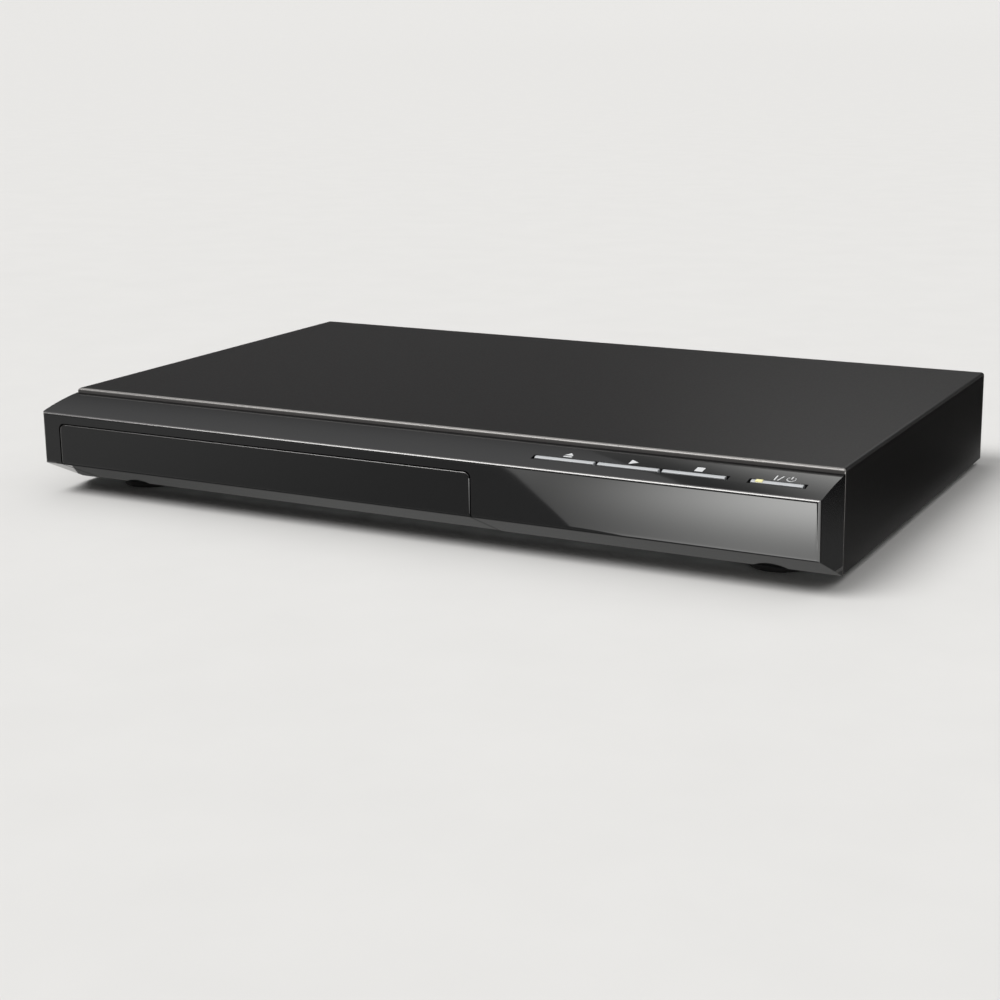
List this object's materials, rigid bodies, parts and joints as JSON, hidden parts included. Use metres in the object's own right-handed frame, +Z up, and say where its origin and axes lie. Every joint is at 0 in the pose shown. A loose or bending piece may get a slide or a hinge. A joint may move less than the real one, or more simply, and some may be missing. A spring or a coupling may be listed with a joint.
{
  "type": "disc player",
  "caption": "Slim black disc player with a flush tray door on the left, a row of top-edge transport keys, a power key, rear sockets and a complete motorised tray loader inside.",
  "frame": {"origin": "middle of the base, on the table under the feet", "axes": "+X to the right seen from the front, +Y to the back, +Z up"},
  "size_m": [0.32, 0.21, 0.0385],
  "materials": {
    "cover_paint": "fine textured satin black",
    "bare_steel": "galvanised sheet",
    "rear_paint": "matt black paint",
    "panel_gloss": "gloss black moulding",
    "door_gloss": "gloss black moulding",
    "foot_rubber": "matt",
    "black_screw": "black oxide",
    "key_silver": "silver lacquer",
    "led_clear": "diffusing clear",
    "board_green": "solder resist",
    "board_brown": "paper laminate",
    "black_plastic": "satin",
    "frame_plastic": "satin grey",
    "tray_plastic": "satin black",
    "white_plastic": "acetal",
    "magnet": "ground ferrite",
    "motor_can": "plated",
    "belt_rubber": "matt",
    "deck_steel": "zinc plated",
    "rod_steel": "ground",
    "pickup_metal": "die cast",
    "lens_glass": "coated",
    "plain_screw": "zinc plated",
    "jack_metal": "nickel plated",
    "jack_collar": "colour-coded",
    "transformer_tape": "polyester tape",
    "capacitor_sleeve": "sleeved",
    "heat_sink_metal": "extruded",
    "pin_brass": "tinned",
    "cable_white": "film",
    "bush_rubber": "soft"
  },
  "bodies": {
    "root": {"top_cover": "cover_paint", "chassis_pan": "bare_steel", "rear_panel": "rear_paint", "front_panel": "panel_gloss", "feet": "foot_rubber", "cover_screws": "black_screw", "rear_screws": "black_screw", "key_board": "board_green", "tact_switches": "cable_white", "ir_receiver": "black_plastic", "power_led": "led_clear", "loader_frame": "frame_plastic", "clamp_bridge": "bare_steel", "loading_motor": "motor_can", "drive_belt": "belt_rubber", "limit_switch": "black_plastic", "damper_bushes": "bush_rubber", "loader_screws": "plain_screw", "loader_board": "board_green", "main_board": "board_green", "main_chips": "black_plastic", "digital_av_socket": "jack_metal", "av_jack_block": "black_plastic", "coax_jack": "black_plastic", "phono_shells": "jack_metal", "phono_collars": "jack_collar", "power_board": "board_brown", "transformer": "transformer_tape", "capacitors": "capacitor_sleeve", "heat_sink": "heat_sink_metal", "power_inlet": "black_plastic", "inlet_pins": "pin_brass", "cable_connectors": "cable_white", "key_flat_cable": "cable_white", "loader_flat_cable": "cable_white", "power_harness": "cable_white", "board_screws": "plain_screw"},
    "tray": {"disc_tray": "tray_plastic", "tray_door": "door_gloss"},
    "tray_wheel": {"tray_gear": "white_plastic"},
    "pulley_wheel": {"pulley_gear": "white_plastic"},
    "drive_pulley": {"motor_pulley": "white_plastic"},
    "traverse": {"traverse_deck": "deck_steel", "spindle_motor": "motor_can", "guide_rods": "rod_steel", "sled_motor": "motor_can"},
    "cam": {"cam_slider": "white_plastic"},
    "platter": {"turntable": "black_plastic"},
    "clamp": {"clamper": "white_plastic", "clamp_magnet": "magnet"},
    "pickup": {"pickup_body": "pickup_metal"},
    "lens": {"lens_holder": "black_plastic", "objective_lens": "lens_glass"},
    "sled_wheel": {"sled_gear": "white_plastic"},
    "sled_drive": {"sled_motor_gear": "white_plastic"},
    "eject_button": {"key_eject": "key_silver"},
    "play_button": {"key_play": "key_silver"},
    "stop_button": {"key_stop": "key_silver"},
    "power_button": {"key_power": "key_silver", "led_lens": "led_clear"}
  },
  "joints": [
    {"name": "tray_slide", "type": "slide", "parent": "root", "child": "tray", "axis": [0, -1, 0], "range_m": [0, 0.138]},
    {"name": "tray_gear_spin", "type": "hinge", "parent": "root", "child": "tray_wheel", "pos_m": [-0.014, -0.064, 0.012], "axis": [0, 0, 1], "range_deg": [-1240.4, 5]},
    {"name": "pulley_gear_spin", "type": "hinge", "parent": "root", "child": "pulley_wheel", "pos_m": [-0.0332, -0.064, 0.012], "axis": [0, 0, 1], "range_deg": [-5, 3711.3]},
    {"name": "motor_pulley_spin", "type": "hinge", "parent": "root", "child": "drive_pulley", "pos_m": [-0.071, -0.067, 0.0168], "axis": [0, 0, 1], "range_deg": [-5, 12606.5]},
    {"name": "traverse_tilt", "type": "hinge", "parent": "root", "child": "traverse", "pos_m": [-0.059, 0.066, 0.0135], "axis": [1, 0, 0], "range_deg": [0, 3.2]},
    {"name": "cam_slide", "type": "slide", "parent": "root", "child": "cam", "axis": [-1, 0, 0], "range_m": [0, 0.012]},
    {"name": "spindle_spin", "type": "hinge", "parent": "traverse", "child": "platter", "pos_m": [-0.059, -0.028, 0.02], "axis": [0, 0, 1], "continuous": true},
    {"name": "clamper_spin", "type": "hinge", "parent": "root", "child": "clamp", "pos_m": [-0.059, -0.028, 0.028], "axis": [0, 0, 1], "continuous": true},
    {"name": "pickup_slide", "type": "slide", "parent": "traverse", "child": "pickup", "axis": [0, 1, 0], "range_m": [0, 0.034]},
    {"name": "lens_focus", "type": "slide", "parent": "pickup", "child": "lens", "axis": [0, 0, 1], "range_m": [-0.0004, 0.0004], "stiffness_N_per_m": 150},
    {"name": "sled_gear_spin", "type": "hinge", "parent": "traverse", "child": "sled_wheel", "pos_m": [-0.0312, 0.03, 0.018], "axis": [0, 0, 1], "range_deg": [-410.8, 5]},
    {"name": "sled_motor_spin", "type": "hinge", "parent": "traverse", "child": "sled_drive", "pos_m": [-0.01894, 0.04029, 0.019], "axis": [0, 0, 1], "range_deg": [-5, 1222.5]},
    {"name": "eject_press", "type": "slide", "parent": "root", "child": "eject_button", "axis": [0, 0, -1], "range_m": [0, 0.0004], "stiffness_N_per_m": 300, "springref_m": -0.0002},
    {"name": "play_press", "type": "slide", "parent": "root", "child": "play_button", "axis": [0, 0, -1], "range_m": [0, 0.0004], "stiffness_N_per_m": 300, "springref_m": -0.0002},
    {"name": "stop_press", "type": "slide", "parent": "root", "child": "stop_button", "axis": [0, 0, -1], "range_m": [0, 0.0004], "stiffness_N_per_m": 300, "springref_m": -0.0002},
    {"name": "power_press", "type": "slide", "parent": "root", "child": "power_button", "axis": [0, 0, -1], "range_m": [0, 0.0004], "stiffness_N_per_m": 300, "springref_m": -0.0002}
  ],
  "couplings": [
    {"joint": "tray_gear_spin", "follows": "tray_slide", "rad_per_m": -156.25},
    {"joint": "pulley_gear_spin", "follows": "tray_slide", "rad_per_m": 468.75},
    {"joint": "motor_pulley_spin", "follows": "tray_slide", "rad_per_m": 1593.8},
    {"joint": "cam_slide", "follows": "traverse_tilt", "m_per_rad": 0.21485},
    {"joint": "clamper_spin", "follows": "spindle_spin", "ratio": 1},
    {"joint": "sled_gear_spin", "follows": "pickup_slide", "rad_per_m": -208.33},
    {"joint": "sled_motor_spin", "follows": "pickup_slide", "rad_per_m": 625}
  ]
}
